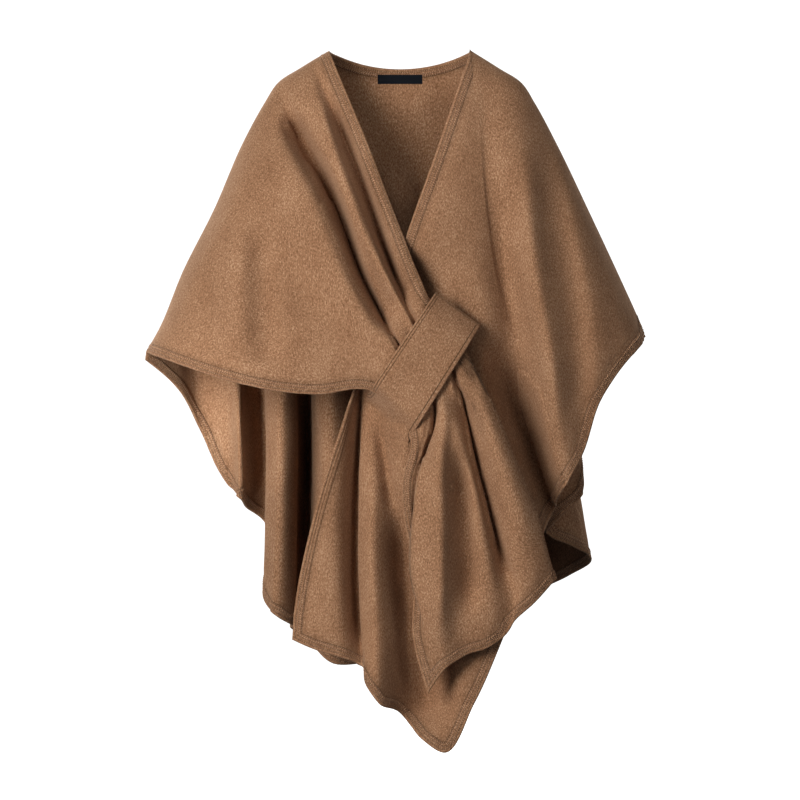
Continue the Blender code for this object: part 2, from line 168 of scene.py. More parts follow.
def meanDistances(*stations):
    return np.mean([lineLengths(np.array(station, float)) for station in stations], axis=0)


def acrossSteps(knots, step):
    # positions across a panel: short edge steps at both sides, even steps between
    inner = []
    for start, end in zip(knots[:-1], knots[1:]):
        count = max(cloth["fewestSteps"], math.ceil((end - start) / step))
        inner.extend(start + (end - start) * np.arange(count) / count)
    inner = np.array(inner)
    fine = np.array(edgeSteps) * min(1, knots[-1] / cloth["narrow"])
    inner = inner[(inner > fine[-1] + 1) & (inner < knots[-1] - fine[-1] - 1)]
    return np.concatenate([fine, inner, knots[-1] - fine[::-1]])


def halfWidth(x, z):
    sides = []
    for seam in (form["rightSeam"], form["leftSeam"]):
        curve = curvePoints(seam, np.linspace(0, 1, form["seamPoints"]))
        heights = np.append(curve[:, 1], [form["hangTop"], form["lowest"]])[::-1]
        widths = np.append(abs(curve[:, 0]), [form["hangHalfWidth"]] * 2)[::-1]
        sides.append(np.interp(z, heights, widths))
    return np.where(np.asarray(x) < 0, sides[0], sides[1])


def formDepth(x, z, side):
    heights = [-section[0] for section in form["sections"]]
    depths = [[section[side]] for section in form["sections"]]
    middle = smoothCurve(heights, depths, -np.asarray(z, float))[:, 0]
    return middle * np.sqrt(np.clip(1 - (x / halfWidth(x, z)) ** 2, 0, 1))


def downFromSeam(count=400, share=0.35):
    # the form rounds away fast at its side, so a line starts in short steps
    t = np.linspace(0, 1, count + 1)
    return np.where(t < share, t * t / share, 2 * t - share) / (2 - share)


def inFront(flat, sewn):
    depth = formDepth(flat[:, 0], flat[:, 1], 1) + flat[:, 2]
    if sewn:
        depth[0] = cloth["seamDepth"]
    return np.column_stack([flat[:, 0], -depth, flat[:, 1]])


# the right front: from its shoulder seam through the strap and out in a fan

rightFront = {
    "step": 4.5,
    "down": (34, 36, 22, 24, 32, 14, 16),
    "pieces": 120,  # in which each stretch is first curved
    "strapUpper": ((-47, -487), (48, -343)),
    "strapLower": ((8, -556), (111, -389)),
    # name, seam, chest x z out, enter, out, leave, out, then x z out at four heights of the fan
    "lines": [
        ("side_edge", 0, -115, -484, 0, 0.055, -5, 0.055, -5.5,
         3, -603, 2, 19, -750, -2, 17, -816, 3, 39, -900, 8),
        ("sleeve_1", 0.1, -118, -455, 4, 0.13, 0, 0.11, -1,
         8, -608, 8, 21, -750, -2, 20, -816, 5, 42, -895, 9),
        ("sleeve_2", 0.28, -140, -399, 4, 0.2, 5, 0.18, 4,
         15, -612, 9.5, 23, -750, -1.5, 22, -816, 7, 45, -890, 10),
        ("soft_valley", 0.58, -160, -298, -4, 0.29, 9, 0.25, 7.5,
         20, -615, 7, 25, -750, -1, 25, -816, 9, 48, -886, 11),
        ("soft_crest", 0.74, -133, -262, 6, 0.38, 11.5, 0.3, 8,
         25, -616, 5, 27, -750, 0.5, 28, -816, 11, 50, -882, 12),
        ("lip_1", 0.8, -113, -223, 8, 0.45, 12, 0.338, 5,
         29, -615, 3, 28, -750, 3, 31, -816, 13, 53, -878, 13),
        ("crease_1", 0.825, -101, -221, -20, 0.48, -2, 0.37, 1,
         31, -614, 5.5, 25, -750, 7, 34, -816, 16, 56, -874, 15),
        ("lip_2", 0.85, -87, -220, 9, 0.51, 11, 0.4, 11,
         22, -613, 14, 18, -750, 14, 39, -816, 19.5, 60, -869, 17),
        ("crest_2", 0.88, -77, -218, 12, 0.57, 12.5, 0.45, 12.5,
         52, -608, 24, 53, -746, 29, 56, -812, 27, 69, -861, 20),
        ("soft_trough", 0.905, -66, -218, 10, 0.63, 10, 0.52, 11,
         73, -601, 13, 78, -735, 15, 83, -802, 16, 94, -846, 13),
        ("lip_3", 0.925, -55, -217, 5, 0.69, 11, 0.585, 11,
         101, -594, 20, 126, -717, 20, 130, -777, 18, 122, -837, 14),
        ("crease_2", 0.945, -44, -216, -18, 0.725, -1, 0.615, 0,
         109, -588, 2, 141, -708, 4, 157, -757, 9, 144, -822, 10),
        ("lip_4", 0.96, -34, -214, 5, 0.76, 10, 0.65, 10,
         117, -584, 17, 150, -701, 19, 168, -748, 19, 160, -799, 15),
        ("crest_3", 0.973, -27, -214, 6, 0.83, 10, 0.71, 10,
         136, -570, 22, 174, -682, 24, 188, -731, 22, 188, -774, 17),
        ("front_fold", 0.987, -21, -213, 4, 0.89, 6, 0.785, 7,
         153, -557, 10, 193, -661, 10, 206, -710, 10, 216, -742, 8),
        ("front_edge", 1, -15, -211, -1, 0.94, -3, 0.74, -3,
         140, -564, -4, 176, -671, -5, 189, -724, -5, 193, -757, -5),
    ],
    # points in the front view from the top down, half width at the left and right, height, fades
    "creases": [
        # the front edge
        (((-98, -5), (-70, -85), (-40, -160), (-4, -246), (25, -310)), 42, 42, -10, 0.2, 0.3),
        # the broad round of the panel
        (((-195, -100), (-230, -225), (-246, -350), (-250, -450)), 80, 85, 16, 0.3, 0),
        # the outer crease
        (((-170, -80), (-140, -138), (-107, -197), (-84, -253), (-62, -309), (-28, -372), (-6, -405)),
         28, 10, -46, 0.15, 0.12),
        # the inner crease
        (((-104, -66), (-70, -162), (-34, -256), (3, -335), (20, -368)), 17, 7, -33, 0.2, 0.12),
        # between the creases
        (((-118, -110), (-73, -218), (-28, -312), (-3, -357)), 10, 8, 7, 0.3, 0.1),
        # down from the shoulder
        (((-193, -225), (-190, -335), (-182, -450)), 20, 22, -9, 0.4, 0.1),
        # the broad fold at its left
        (((-224, -200), (-224, -310), (-220, -415)), 17, 20, 6, 0.4, 0.1),
        # near the side
        (((-273, -307), (-264, -390), (-258, -433)), 18, 21, -5, 0.4, 0.1),
        # left of the fan's ridge
        (((45, -494), (46, -519), (38, -554), (28, -583), (23, -606)), 11, 8, -12, 0.15, 0.4),
        # the fan's long crease
        (((73, -470), (90, -512), (108, -575), (125, -638), (140, -708), (151, -771)),
         15, 12, -25, 0.15, 0.3),
        # the fan's first ridge
        (((53, -519), (56, -590), (57, -757), (53, -840)), 17, 14, 12, 0.2, 0.25),
        # the fan's right ridge
        (((98, -452), (129, -533), (160, -617), (188, -694)), 13, 13, 6, 0.2, 0.2),
        # between the fan's ridges
        (((81, -547), (88, -631), (94, -715), (98, -799)), 13, 13, -24, 0.3, 0.25),
    ],
    # where a fold is moved sideways: x, z, width, height, by how much
    "shifts": ((-113, -212, 55, 105, 12),),
    "flat": (0.40, 0.86),
    "area": 0.27,
}


def rightFrontGrid():
    rows = [row[1:] for row in rightFront["lines"]]
    upper, lower = np.array(rightFront["strapUpper"], float), np.array(rightFront["strapLower"], float)
    table = []
    for row in rows:
        enter = upper[0] + row[4] * (upper[1] - upper[0])
        leave = lower[0] + row[6] * (lower[1] - lower[0])
        table.append([*row[:4], *enter, row[5], *leave, row[7], *row[8:]])
    knots = meanDistances(*([row[at:at + 3] for row in rows] for at in (1, 8, 11, 17)))
    columns = smoothCurve(knots, table, acrossSteps(knots, rightFront["step"]))
    seams = curvePoints(form["rightSeam"][::-1], np.clip(columns[:, 0], 0, 1))
    pieces = rightFront["pieces"]
    grid = []
    for seam, column in zip(seams, columns):
        stations = np.vstack([[*seam, 0], column[1:].reshape(-1, 3)])
        at = lineLengths(stations[:, :2])
        line = []
        for number, count in enumerate(rightFront["down"]):
            first, last = number == 0, number == len(rightFront["down"]) - 1
            fractions = downFromSeam(pieces) if first else np.linspace(0, 1, pieces + 1)
            flat = smoothCurve(at, stations, at[number] + fractions * (at[number + 1] - at[number]))
            stretch = resampled(inFront(flat, first), count, first, last)
            line.extend(stretch if first else stretch[1:])
        grid.append(line)
    return np.array(grid), np.ones(len(grid), bool)


# the left front: its front edge runs down from the neck, under the fan

leftFront = {
    "step": 4.6,
    "down": 120,
    "upper": 0.25,
    "lower": 0.60,
    # the front edge from the neck to the low corner: x z out
    "edge": [(100, 0, 0), (79, -60, 0), (49, -148, -2), (16, -240, -12), (-21, -350, -20),
             (-67, -489, -20), (-98, -575, -17), (-126, -673, -16), (-144, -757, -16), (-151, -812, -16)],
    # name, top (front edge under 0, seam over 0), upper x out, lower x out, hem x z out
    "lines": [
        ("low_corner", -0.965, -149, -16, -150, -16, -151, -826, -16),
        ("edge_low", -0.85, -127, -14, -125, -12, -118, -840, -10),
        ("edge_middle", -0.7, -95, -14, -91, -12, -84, -850, -10),
        ("recess", -0.57, -60, -34, -61, -26, -54, -862, -14),
        ("strap_fold_side", -0.54, -54, -9, -57, 8, -47, -890, 10),
        ("strap_fold", -0.48, -44, -7, -40, 18, -29, -914, 18),
        ("trough_1", -0.42, -28, -12, -4, -15, 1, -927, -10),
        ("under_fan_1", -0.34, 0, -10, 17, -12, 29, -963, -4),
        ("hem_point", -0.26, 35, -10, 48, -12, 60, -983, 0),
        ("under_fan_2", -0.18, 64, -10, 81, -12, 104, -914, -4),
        ("under_fan_3", -0.09, 95, -10, 120, -16, 146, -819, -8),
        ("neck", 0.0, 115, -11, 143, -20, 179, -738, -10),
        ("trough_2", 0.07, 129, -12, 157, -18, 204, -669, -8),
        ("crest_1", 0.16, 174, 5, 196, 7, 228, -617, 4),
        ("trough_3", 0.3, 214, -5, 238, -5, 255, -568, -2),
        ("crest_2", 0.5, 253, 2, 272, 3, 280, -494, 2),
        ("arm_1", 0.72, 291, 1, 300, 1, 309, -449, 0),
        ("arm_2", 0.9, 323, 0, 328, 0, 332, -422, 0),
        ("side_tip", 0.97, 341, 0, 343, 0, 341, -412, 0),
    ],
    "creases": [
        # held back where the right front's creases cross the front edge
        (((14, -275), (-2, -320), (-20, -368), (-37, -415)), 34, 34, -38, 0.3, 0.3),
        # beside the fold under the strap
        (((-48, -450), (-50, -490), (-54, -575), (-57, -660), (-57, -770), (-46, -885)),
         42, 16, -43, 0.12, 0.2),
        # under the strap's low corner
        (((-4, -519), (6, -545), (10, -564), (11, -584)), 13, 11, 7, 0.3, 0.5),
        # the fold under the strap
        (((-32, -512), (-36, -631), (-39, -715), (-35, -800), (-28, -885)), 14, 14, 7, 0.2, 0.3),
        # right of that fold, its start
        (((-29, -511), (-24, -556), (-17, -606), (-8, -659)), 9, 11, -13, 0.35, 0.3),
        # right of that fold
        (((-6, -600), (6, -660), (17, -715), (25, -785), (34, -885), (44, -965)), 36, 34, -50, 0.35, 0.15),
        # beside the fan
        (((118, -377), (140, -435), (162, -498), (185, -561), (204, -617), (224, -687)),
         24, 24, -60, 0.35, 0.15),
        # under the fan
        (((3, -260), (20, -323), (42, -393), (67, -463), (92, -533), (112, -603), (126, -673), (138, -750)),
         50, 42, -42, 0.25, 0.3),
        # over the chest
        (((137, -162), (144, -240), (158, -393), (171, -477)), 24, 21, -16, 0.4, 0.25),
        # right of the chest
        (((175, -100), (180, -220), (190, -337), (207, -450), (224, -560)), 15, 15, 7, 0.3, 0.3),
        # the broad round of the side
        (((224, -140), (266, -295), (288, -407), (266, -490)), 56, 42, 6, 0.3, 0.2),
    ],
    "shifts": ((161, -449, 55, 110, 22),),
    "flat": (0.46, 0.84),
    "area": 0.31,
}


def leftFrontGrid():
    rows = [row[1:] for row in leftFront["lines"]]
    knots = meanDistances([row[5:8] for row in rows])
    columns = smoothCurve(knots, rows, acrossSteps(knots, leftFront["step"]))
    grid, sewn = [], []
    for top, upperX, upperOut, lowerX, lowerOut, hemX, hemZ, hemOut in columns:
        onSeam = top >= 0
        if onSeam:
            start = [*curvePoints(form["leftSeam"], [top])[0], 0]
        else:
            start = curvePoints(leftFront["edge"], [-top])[0]
        shares = (leftFront["upper"], leftFront["lower"])
        upperZ, lowerZ = (start[1] + share * (hemZ - start[1]) for share in shares)
        stations = [start, (upperX, upperZ, upperOut), (lowerX, lowerZ, lowerOut), (hemX, hemZ, hemOut)]
        flat = smoothCurve((0, *shares, 1), stations, downFromSeam())
        grid.append(resampled(inFront(flat, onSeam), leftFront["down"], True, True))
        sewn.append(onSeam)
    return np.array(grid), np.array(sewn)


# the back: one wide panel that falls in flutes, with a cascade at each side

back = {
    "step": 7.0,
    "down": 108,
    "neckHalf": 100.0,
    "neckDrop": 24.0,
    "foldsStart": 0.10,
    "foldsFull": 0.60,
    # name, top (-2 and 2 side tips, -1 and 1 neck points), hem x z y
    "lines": [
        ("right_tip", -2.0, -359, -435, 2),
        ("right_edge_1", -1.88, -314, -476, 40),
        ("right_edge_2", -1.74, -284, -533, 78),
        ("right_panel", -1.53, -249, -603, 72),
        ("panel_turn", -1.43, -230, -627, 60),
        ("hollow_1_side", -1.39, -221, -644, 100),
        ("hollow_1", -1.34, -200, -664, 130),
        ("hollow_1_end", -1.29, -185, -701, 112),
        ("tube_1_side", -1.24, -196, -776, 58),
        ("tube_1", -1.18, -178, -797, 34),
        ("tube_1_turn", -1.14, -154, -811, 56),
        ("hollow_2_side", -1.11, -157, -816, 105),
        ("hollow_2", -1.08, -136, -827, 130),
        ("tube_2_side", -1.05, -120, -841, 78),
        ("tube_2", -1.0, -94, -864, 52),
        ("tube_2_turn", -0.92, -62, -865, 72),
        ("flute_1", -0.76, -38, -855, 125),
        ("trough_1", -0.58, -11, -865, 75),
        ("flute_2", -0.4, 17, -861, 128),
        ("trough_2", -0.18, 49, -861, 78),
        ("flute_3", 0.06, 81, -850, 128),
        ("trough_3", 0.3, 112, -834, 80),
        ("flute_4", 0.54, 144, -813, 128),
        ("trough_4", 0.76, 175, -787, 85),
        ("flute_5", 0.96, 204, -760, 122),
        ("left_side", 1.05, 239, -741, 90),
        ("left_turn", 1.12, 270, -715, 35),
        ("cascade_1", 1.19, 241, -697, 6),
        ("cascade_1_fold", 1.26, 207, -679, -10),
        ("cascade_2", 1.32, 227, -654, -24),
        ("cascade_2_turn", 1.39, 258, -620, -8),
        ("left_edge_1", 1.5, 252, -570, 14),
        ("left_edge_2", 1.65, 263, -512, 24),
        ("left_edge_3", 1.8, 298, -456, 20),
        ("left_edge_4", 1.91, 328, -422, 13),
        ("left_tip", 2.0, 344, -408, 2),
    ],
    "creases": [
        # behind, a deep fold left of the middle
        (((-40, -280), (-48, -435), (-53, -600), (-56, -785)), 15, 20, -11, 0.5, 0.2),
        # behind, a low round beside it
        (((-3, -390), (-4, -530), (0, -690), (-3, -830)), 22, 17, 8, 0.5, 0.3),
        # behind, a short fold
        (((56, -520), (62, -630), (64, -740), (66, -840)), 13, 15, -9, 0.5, 0.2),
        # behind, a long fold at the right
        (((120, -250), (136, -410), (151, -550), (165, -715)), 18, 22, -10, 0.5, 0.25),
        # behind, from the left shoulder
        (((-140, -140), (-160, -250), (-174, -365), (-182, -465)), 25, 20, 6, 0.4, 0.4),
        # the side's inward edge
        (((-227, -450), (-225, -520), (-223, -590), (-220, -650)), 48, 9, -30, 0.35, 0.2),
        # between the shoulders
        (((0, -5), (1, -100), (3, -200), (4, -310)), 87, 87, -36, 0.25, 0.35),
        # the deep fold left of the first flute
        (((-203, -440), (-202, -520), (-199, -590), (-196, -660)), 18, 18, 16, 0.4, 0.4),
        # the deep fold right of it
        (((-136, -450), (-133, -530), (-134, -630), (-140, -730), (-146, -800)), 18, 18, 16, 0.4, 0.4),
    ],
    "shifts": ((-178, -570, 34, 230, 11),),
    "flat": (1.19, 0.86),
    "area": 0.80,
}


def backTop(place):
    if abs(place) > 1:
        return curvePoints(form["rightSeam" if place < 0 else "leftSeam"], [abs(place) - 1])[0]
    return back["neckHalf"] * place, -back["neckDrop"] * (1 - place**2)


def backGrid():
    rows = [row[1:] for row in back["lines"]]
    knots = meanDistances([row[1:] for row in rows])
    columns = smoothCurve(knots, rows, acrossSteps(knots, back["step"]))
    down = downFromSeam()
    folded = easeIn(down, back["foldsStart"], back["foldsFull"])
    grid, sewn = [], []
    for top, hemX, hemZ, hemY in columns:
        topX, topZ = backTop(top)
        x = topX + down * (hemX - topX)
        z = topZ + down * (hemZ - topZ)
        depth = formDepth(x, z, 2)
        depth += (hemY - depth[-1]) * folded
        if abs(top) >= 1:
            depth[0] = cloth["seamDepth"]
        grid.append(resampled(np.column_stack([x, depth, z]), back["down"], True, True))
        sewn.append(abs(top) >= 1)
    return np.array(grid), np.array(sewn)


# cloth: edge distances, relief, wall

def unit(vectors):
    return vectors / np.maximum(np.linalg.norm(vectors, axis=-1, keepdims=True), 1e-9)


def outwardNormals(grid, side, sewn):
    across = np.gradient(grid, axis=0)
    down = np.gradient(grid, axis=1)
    for line, slopes in zip(grid, down):
        if lineLengths(line)[-1] < cloth["shortLine"]:
            slopes[:] = line[-1] - line[0]
    normal = unit(side * np.cross(across, down))
    if not sewn.any():
        return normal
    # beside the seam the cloth turns edge on: the normals there lean to the seam's own outward side
    aside = np.stack([across[:, 0, 2], np.zeros(len(grid)), -across[:, 0, 0]], axis=-1)
    aside *= np.sign(aside[:, :1] * np.sign(grid[:, 0, :1]) + cloth["upward"] * aside[:, 2:])
    toward = unit(unit(aside) + np.array([0, side, 0]))[:, None]
    seamLines = sewn[:, None, None] * 1
    normal *= np.where((normal * toward).sum(axis=2, keepdims=True) < 0, -1, 1) ** seamLines
    fromSeam = np.cumsum(np.linalg.norm(down, axis=2), axis=1)
    near = (1 - easeIn(fromSeam, 0, cloth["leanReach"]))[:, :, None] * seamLines
    lean = cloth["seamLean"]
    normal = unit(normal * (1 - lean * near) + toward * lean * near)
    normal[sewn, 0, 1] = 0
    return unit(normal)


def edgeDistances(grid, sewn):
    # distance in the cloth from the nearest hemmed edge, and from the shoulder seam
    fromStart, fromTop = gridDistances(grid)
    fromEnd, fromHem = fromStart[-1] - fromStart, fromTop[:, -1:] - fromTop
    hems = [(grid[0], fromStart), (grid[-1], fromEnd), (grid[:, -1], fromHem)]
    loose = np.flatnonzero(~sewn)
    runs = np.split(loose, np.flatnonzero(np.diff(loose) > 1) + 1) if len(loose) else []
    for run in runs:
        within = np.full(grid.shape[:2], farOff)
        low, high = max(run[0] - 1, 0), min(run[-1] + 2, len(grid))
        within[low:high] = fromTop[low:high]
        hems.append((grid[run, 0], within))
    nearest = np.full(grid.shape[:2], farOff)
    for line, along in hems:
        at = lineLengths(line)
        dense = np.arange(0, at[-1], cloth["hemPoints"])
        tree = KDTree(len(dense))
        for number, point in enumerate(atLengths(line, at, dense)):
            tree.insert(point, number)
        tree.balance()
        for i, j in np.argwhere(along < cloth["hemReach"]):
            nearest[i, j] = min(nearest[i, j], tree.find(grid[i, j])[2])
    nearest[[0, -1]] = 0
    nearest[:, -1] = 0
    nearest[~sewn, 0] = 0
    fromSeam = np.where(sewn[:, None], fromTop, farOff)
    fromSeam[[0, -1], 1:] = farOff
    return nearest, fromSeam


def creaseDepths(points, creases):
    # soft troughs (minus) and ridges (plus) along lines in the front view, each side with its own width
    depths = np.zeros(len(points))
    spots = points[:, [0, 2]]
    pieces = cloth["creasePieces"]
    for line, leftWidth, rightWidth, depth, startFade, endFade in creases:
        path = curvePoints(line, np.linspace(0, 1, pieces + 1))
        ahead = unit(np.gradient(path, axis=0))
        gap = spots[:, None] - path[None]
        away = np.linalg.norm(gap, axis=2)
        nearest = away.argmin(axis=1)
        gap, ahead = gap[np.arange(len(spots)), nearest], ahead[nearest]
        # over 0 is left of a line that runs down
        sideways = gap[:, 0] * ahead[:, 1] - gap[:, 1] * ahead[:, 0]
        onward = np.clip((gap * ahead).sum(axis=1) / (lineLengths(path)[-1] / pieces), -0.5, 0.5)
        share = np.clip((nearest + onward) / pieces, 0, 1)
        fade = easeIn(share, 0, startFade) if startFade else 1.0
        if endFade:
            fade = fade * (1 - easeIn(share, 1 - endFade, 1))
        width = np.where(sideways < 0, leftWidth, rightWidth)
        depths += depth * fade * bell(away.min(axis=1), width)
    return depths


def softNoise(points, height, size, shift):
    return height * np.array([noise.noise(Vector(point) / size + Vector((shift, 0, 0))) for point in points])


def hemRelief(away):
    # the turned hem: a slightly padded band, pressed in along its rows of stitching and beside it
    relief = cloth["hemPad"] * (1 - easeIn(away, *cloth["padEnds"]))
    for row, depth, width in cloth["pressed"]:
        relief -= depth * bell(away - row, width)
    return relief


def buildMesh(name, points, faces, uv=None, values=None):
    mesh = bpy.data.meshes.new(name)
    mesh.from_pydata(points, [], faces)
    if uv is not None:
        layer = mesh.uv_layers.new(name="weave")
        corner = np.empty(len(mesh.loops), np.int32)
        mesh.loops.foreach_get("vertex_index", corner)
        layer.data.foreach_set("uv", np.asarray(uv, np.float32)[corner].ravel())
    for key, numbers in (values or {}).items():
        mesh.attributes.new(key, "FLOAT", "POINT").data.foreach_set("value", np.asarray(numbers, np.float32))
    mesh.shade_smooth()
    piece = bpy.data.objects.new(name, mesh)
    bpy.context.scene.collection.objects.link(piece)
    return piece


def closedWall(name, outer, inner, uv, hem):
    # two grids that share their rim
    columns, rows = outer.shape[:2]
    number = np.arange(columns * rows).reshape(columns, rows)
    under = number.copy()
    under[1:-1, 1:-1] = columns * rows + np.arange((columns - 2) * (rows - 2)).reshape(columns - 2, rows - 2)

    def quads(at, turned):
        ring = [at[:-1, :-1], at[1:, :-1], at[1:, 1:], at[:-1, 1:]]
        return np.stack(ring[::-1] if turned else ring, axis=-1).reshape(-1, 4)

    faces = np.concatenate([quads(number, False), quads(under, True)])
    points = np.concatenate([outer.reshape(-1, 3), inner[1:-1, 1:-1].reshape(-1, 3)]) * mm
    uv = np.concatenate([uv.reshape(-1, 2), uv[1:-1, 1:-1].reshape(-1, 2)])
    hem = np.concatenate([hem.ravel(), hem[1:-1, 1:-1].ravel()])
    a, b, c, d = (points[faces[:, k]] for k in range(4))
    volume = (a * np.cross(b, c)).sum() + (a * np.cross(c, d)).sum()
    if volume < 0:
        faces = faces[:, ::-1]
    return buildMesh(name, points.tolist(), faces.tolist(), uv, {"hem": hem})


def creased(grid, sewn, side, creases, shifts):
    # folds are first moved sideways where they need it, then pushed straight in or out
    grid = grid.copy()
    for x, z, wide, high, move in shifts:
        near = np.exp(-(((grid[:, :, 0] - x) / wide) ** 2) - ((grid[:, :, 2] - z) / high) ** 2)
        grid[:, :, 0] += move * near
    fromTop = gridDistances(grid)[1]
    pushed = creaseDepths(grid.reshape(-1, 3), creases).reshape(grid.shape[:2])
    pushed *= np.where(sewn[:, None], easeIn(fromTop, *cloth["creaseStart"]), 1)
    grid[:, :, 1] += side * pushed
    return grid


def makePanel(name, node, panel, side, grid, sewn):
    grid = creased(grid, sewn, side, panel["creases"], panel["shifts"])
    hem, seam = edgeDistances(grid, sewn)
    normal = outwardNormals(grid, side, sewn)
    flatPoints = grid.reshape(-1, 3)
    swell = softNoise(flatPoints, *cloth["swell"]) + softNoise(flatPoints, *cloth["ripple"])
    wave = softNoise(flatPoints, *cloth["hemWave"])
    lift = swell.reshape(hem.shape) * easeIn(np.minimum(hem, seam), 0, cloth["swellStart"])
    lift += wave.reshape(hem.shape) * bell(hem, cloth["waveReach"]) * easeIn(seam, 0, cloth["waveStart"])
    edge = roundOff(hem, cloth["edgeRound"]) * roundOff(seam, cloth["seamRound"])
    half = cloth["wall"] / 2
    wall = cloth["wall"] + (cloth["hemWall"] - cloth["wall"]) * (1 - easeIn(hem, *cloth["hemEnds"]))
    relief = hemRelief(hem) * easeIn(hem, 0, cloth["reliefStart"])
    middle = grid + normal * (lift - half)[:, :, None]
    outer = middle + normal * ((half + relief * easeIn(seam, *cloth["reliefSeam"])) * edge)[:, :, None]
    inner = middle - normal * ((wall - half + relief * cloth["innerRelief"]) * edge)[:, :, None]
    for layer in (outer, inner):
        layer[sewn, 0, 1] = cloth["seamSink"]
    fromStart, fromTop = gridDistances(grid)
    uv = np.stack([fromStart - fromStart[len(grid) // 2], -fromTop], axis=-1) * mm
    piece = closedWall(name, outer, inner, uv, hem)
    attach(piece, "root")
    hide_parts(node)
    return piece, {"outer": outer, "inner": inner, "normal": normal, "hem": hem, "sewn": sewn}


# stitching: rows along every hem, on both faces

stitching = {
    # distance from the edge, pitch, length, width, height, slant (1 lies across the row)
    "rows": [
        (4.9, 3.1, 2.4, 0.9, 0.6, 0.0),
        (8.8, 3.1, 2.4, 0.9, 0.6, 0.0),
        (11.2, 3.5, 3.4, 1.0, 0.8, 1.0),
        (13.2, 3.1, 2.2, 0.8, 0.6, 0.0),
    ],
    "slant": 0.35,
    "reach": 6.0,  # how many times the row's distance a line may have run to meet it
    "widestGap": 14.0,
    "fewestPoints": 4,
    "lookAhead": 0.8,
    "proud": 0.25,
    "sides": 5,
}


def contourLines(surface, normal, hem, away, sewn):
    # lines in the cloth at one distance from its hemmed edges
    columns, rows = hem.shape

    def firstCrossing(*strip):
        points, normals, distances = surface[strip], normal[strip], hem[strip]
        at = lineLengths(points)
        inside = np.flatnonzero(distances >= away)
        if not len(inside) or inside[0] == 0 or at[inside[0]] > away * stitching["reach"]:
            return None
        k = inside[0]
        t = (away - distances[k - 1]) / max(distances[k] - distances[k - 1], 1e-6)
        return np.concatenate([points[k - 1] + t * (points[k] - points[k - 1]), normals[k]])

    forwards, backwards = slice(None), slice(None, None, -1)
    walks = [
        [firstCrossing(forwards, j) for j in range(rows)],
        [firstCrossing(backwards, j) for j in range(rows)],
        [firstCrossing(i, backwards) for i in range(columns)],
        [None if sewn[i] else firstCrossing(i, forwards) for i in range(columns)],
    ]
    lines = []
    for walk in walks:
        line = []
        for point in walk + [None]:
            if point is not None:
                gap = np.linalg.norm(point[:3] - line[-1][:3]) if line else 0
                if gap < stitching["widestGap"]:
                    line.append(point)
                    continue
            if len(line) >= stitching["fewestPoints"]:
                lines.append(np.array(line))
            line = [] if point is None else [point]
    return lines


def stitchShape():
    # a short plump thread with pointed ends, of unit length, width and height
    count = stitching["sides"]
    ring = [(math.cos(k * math.tau / count) / 2, math.sin(k * math.tau / count) / 2) for k in range(count)]
    points = [(-0.5, 0, -0.2)] + [(-0.25, *r) for r in ring] + [(0.25, *r) for r in ring] + [(0.5, 0, -0.2)]
    faces = []
    for k in range(count):
        near, nearNext = 1 + k, 1 + (k + 1) % count
        far, farNext = near + count, nearNext + count
        faces.extend([(0, nearNext, near), (near, nearNext, farNext, far), (2 * count + 1, far, farNext)])
    return np.array(points), faces


def sewStitches(name, rowsOfLines):
    shape, shapeFaces = stitchShape()
    points, faces = [], []
    for line, (pitch, length, width, height, across) in rowsOfLines:
        at = lineLengths(line[:, :3])
        places = np.arange(pitch / 2, at[-1] - pitch / 2, pitch)
        centres = atLengths(line[:, :3], at, places)
        tips = atLengths(line[:, :3], at, places + stitching["lookAhead"])
        ups = atLengths(line[:, 3:], at, places)
        for centre, tip, up in zip(centres, tips, ups):
            along = tip - centre
            along -= up * (along @ up) / (up @ up)
            along /= max(np.linalg.norm(along), 1e-9)
            sideways = np.cross(up, along)
            if across:
                along, sideways = sideways + along * stitching["slant"], along
                along /= np.linalg.norm(along)
                sideways = np.cross(up, along)
            base = len(points)
            points.extend(centre + length * shape[:, :1] * along + width * shape[:, 1:2] * sideways
                          + height * (shape[:, 2:3] + stitching["proud"]) * up)
            faces.extend(tuple(base + k for k in face) for face in shapeFaces)
    piece = buildMesh(name, (np.array(points) * mm).tolist(), faces)
    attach(piece, "root")
    print(name, "has", len(points) // len(shape), "stitches")
    return piece


def hemStitches(name, made):
    rows = []
    for facing, sign in ((made["outer"], 1), (made["inner"], -1)):
        for away, *stitch in stitching["rows"]:
            for line in contourLines(facing, made["normal"] * sign, made["hem"], away, made["sewn"]):
                rows.append((line, stitch))
    return sewStitches(name, rows)


rightPiece, rightMade = makePanel("right_front_cloth", "right_front", rightFront, -1, *rightFrontGrid())
leftPiece, leftMade = makePanel("left_front_cloth", "left_front", leftFront, -1, *leftFrontGrid())
backPiece, backMade = makePanel("back_cloth", "back", back, 1, *backGrid())
print("panels made:", [len(p.data.polygons) * 2 for p in (rightPiece, leftPiece, backPiece)], "triangles")
rightStitches = hemStitches("right_front_stitches", rightMade)
leftStitches = hemStitches("left_front_stitches", leftMade)
backStitches = hemStitches("back_stitches", backMade)

# the strap: two layers, sewn to the left front at its high end, running into it at its low end

